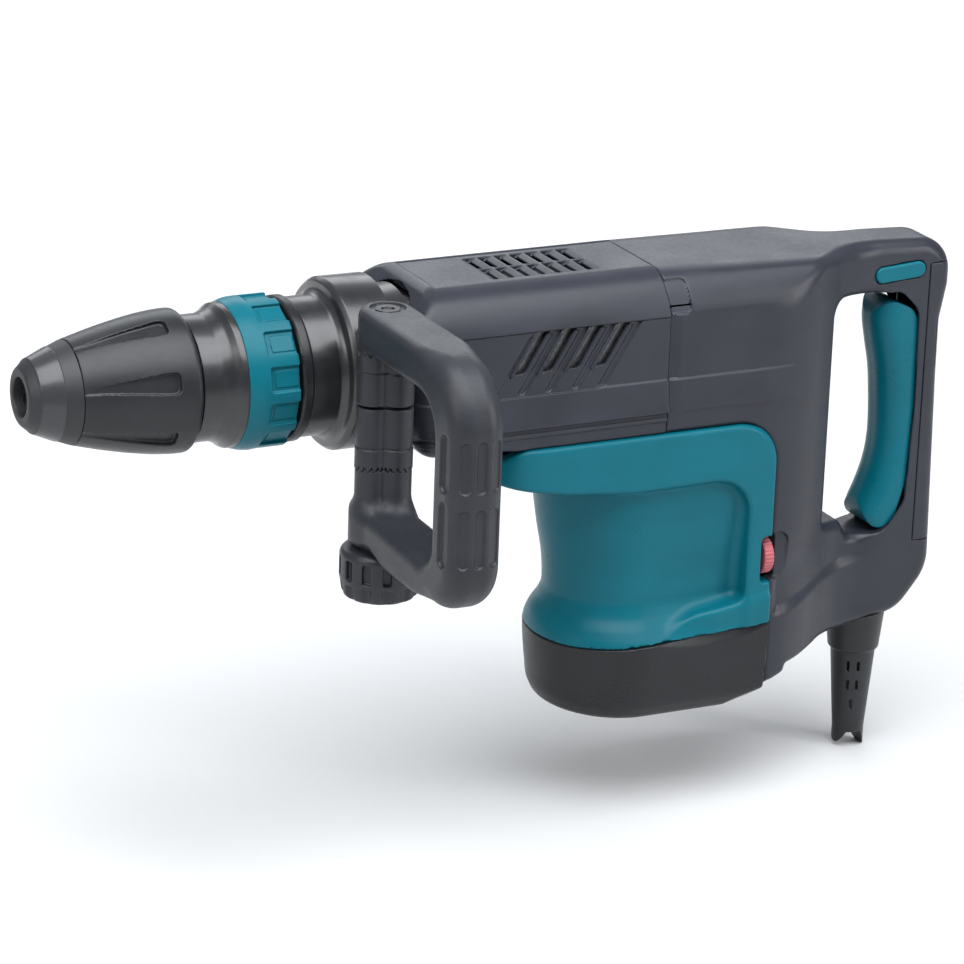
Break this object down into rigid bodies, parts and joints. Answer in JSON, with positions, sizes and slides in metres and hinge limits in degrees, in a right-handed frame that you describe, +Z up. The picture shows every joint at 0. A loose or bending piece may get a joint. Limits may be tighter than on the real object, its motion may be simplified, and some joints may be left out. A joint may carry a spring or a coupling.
{
  "type": "electric demolition hammer",
  "caption": "Electric demolition hammer with a turning chisel chuck, upright motor, rear switch handle and swinging D-shaped side handle.",
  "frame": {"origin": "on the hammer axis at the mouth of the steel socket that takes the chisel shank", "axes": "+X runs back along the hammer axis to the rear handle, +Z is up, and the side handle stands out towards -Y"},
  "size_m": [0.5525, 0.2378, 0.314],
  "materials": {
    "rubber_black": "moulded matt rubber",
    "grip_grey": "satin glass-filled nylon",
    "body_grey": "satin glass-filled nylon",
    "body_black": "satin nylon",
    "teal_plastic": "satin moulded plastic",
    "red_plastic": "satin moulded plastic",
    "black_enamel": "glossy black enamel on cast metal",
    "tool_steel": "ground and oiled steel",
    "spring_steel": "oil-tempered wire",
    "cast_alloy": "die-cast, as cast",
    "laminated_steel": "varnished laminations",
    "copper_bars": "turned copper",
    "carbon": "pressed carbon",
    "board_green": "lacquered board"
  },
  "bodies": {
    "base": {"barrel_nose_ring": "body_black", "barrel": "black_enamel", "barrel_screws": "tool_steel", "cushion_ring": "rubber_black", "cylinder": "tool_steel", "crank_bearing_low": "tool_steel", "crank_bearing_high": "tool_steel", "crank_housing": "cast_alloy", "motor_bearing_high": "tool_steel", "motor_bearing_low": "tool_steel", "bearing_plate": "cast_alloy", "field_stator": "laminated_steel", "brush_holders": "copper_bars", "carbon_brushes": "carbon", "top_cover": "body_grey", "body_shell": "body_grey", "motor_housing": "teal_plastic", "motor_bottom_cover": "body_black", "rear_handle": "body_grey", "handle_back_cover": "body_grey", "lever_pin": "tool_steel", "switch_body": "body_black", "control_board": "board_green", "cord_guard": "rubber_black", "bottom_cover_screws": "tool_steel"},
    "chuck": {"tool_holder": "tool_steel", "locking_lugs": "tool_steel", "chuck_spring": "spring_steel", "front_cap": "rubber_black"},
    "sleeve": {"release_sleeve": "rubber_black"},
    "change": {"change_ring": "teal_plastic", "ring_collar": "body_black"},
    "bolt": {"impact_bolt": "tool_steel"},
    "striker": {"striker": "tool_steel", "striker_seal": "rubber_black"},
    "piston": {"piston": "cast_alloy", "wrist_pin": "tool_steel"},
    "rod": {"connecting_rod": "cast_alloy"},
    "crank": {"crankshaft": "tool_steel", "crank_gear": "tool_steel"},
    "armature": {"armature_shaft": "tool_steel", "armature_pinion": "tool_steel", "armature_core": "laminated_steel", "commutator": "copper_bars", "fan": "body_black"},
    "lock": {"lock_button": "teal_plastic"},
    "lever": {"switch_lever": "teal_plastic"},
    "dial": {"speed_dial": "red_plastic"},
    "clamp": {"clamp_half_upper": "grip_grey", "clamp_half_lower": "grip_grey", "clamp_screw": "tool_steel"},
    "side_handle": {"side_grip": "grip_grey", "clamp_bolt": "tool_steel", "clamp_washer": "tool_steel"},
    "knob": {"clamp_knob": "grip_grey"}
  },
  "joints": [
    {"name": "chuck_turn", "type": "hinge", "parent": "base", "child": "chuck", "pos_m": [0.1, 0, 0], "axis": [1, 0, 0], "continuous": true},
    {"name": "sleeve_slide", "type": "slide", "parent": "chuck", "child": "sleeve", "axis": [1, 0, 0], "range_m": [0, 0.008], "stiffness_N_per_m": 1200, "springref_m": -0.006, "deforming": ["chuck_spring"]},
    {"name": "ring_slide", "type": "slide", "parent": "chuck", "child": "change", "axis": [1, 0, 0], "range_m": [-0.005, 0]},
    {"name": "bolt_slide", "type": "slide", "parent": "chuck", "child": "bolt", "axis": [1, 0, 0], "range_m": [0, 0.008]},
    {"name": "striker_slide", "type": "slide", "parent": "base", "child": "striker", "axis": [1, 0, 0], "range_m": [-0.006, 0.008]},
    {"name": "piston_slide", "type": "slide", "parent": "base", "child": "piston", "axis": [1, 0, 0], "range_m": [0, 0.028]},
    {"name": "rod_swing", "type": "hinge", "parent": "piston", "child": "rod", "pos_m": [0.229, 0, 0], "axis": [0, 0, 1], "range_deg": [-14.7, 14.7]},
    {"name": "crank_spin", "type": "hinge", "parent": "base", "child": "crank", "pos_m": [0.298, 0, 0], "axis": [0, 0, 1], "continuous": true},
    {"name": "armature_spin", "type": "hinge", "parent": "base", "child": "armature", "pos_m": [0.344, 0, 0], "axis": [0, 0, 1], "continuous": true},
    {"name": "lever_swing", "type": "hinge", "parent": "base", "child": "lever", "pos_m": [0.512, 0, -0.12], "axis": [0, 1, 0], "range_deg": [0, 2.7], "stiffness_Nm_per_rad": 12, "springref_deg": -3.44},
    {"name": "lock_slide", "type": "slide", "parent": "base", "child": "lock", "axis": [0, 1, 0], "range_m": [0, 0.003]},
    {"name": "dial_turn", "type": "hinge", "parent": "base", "child": "dial", "pos_m": [0.4172, -0.0415, -0.126], "axis": [1, 0, 0], "range_deg": [-150, 150]},
    {"name": "clamp_turn", "type": "hinge", "parent": "base", "child": "clamp", "pos_m": [0.184, 0, 0], "axis": [1, 0, 0], "range_deg": [-170, 170]},
    {"name": "grip_swing", "type": "hinge", "parent": "clamp", "child": "side_handle", "pos_m": [0.174, -0.061, 0], "axis": [0, 0, 1], "range_deg": [-45, 45]},
    {"name": "knob_turn", "type": "hinge", "parent": "side_handle", "child": "knob", "pos_m": [0.174, -0.061, -0.098], "axis": [0, 0, 1], "continuous": true}
  ],
  "couplings": [
    {"joint": "armature_spin", "follows": "crank_spin", "ratio": -4.75}
  ]
}
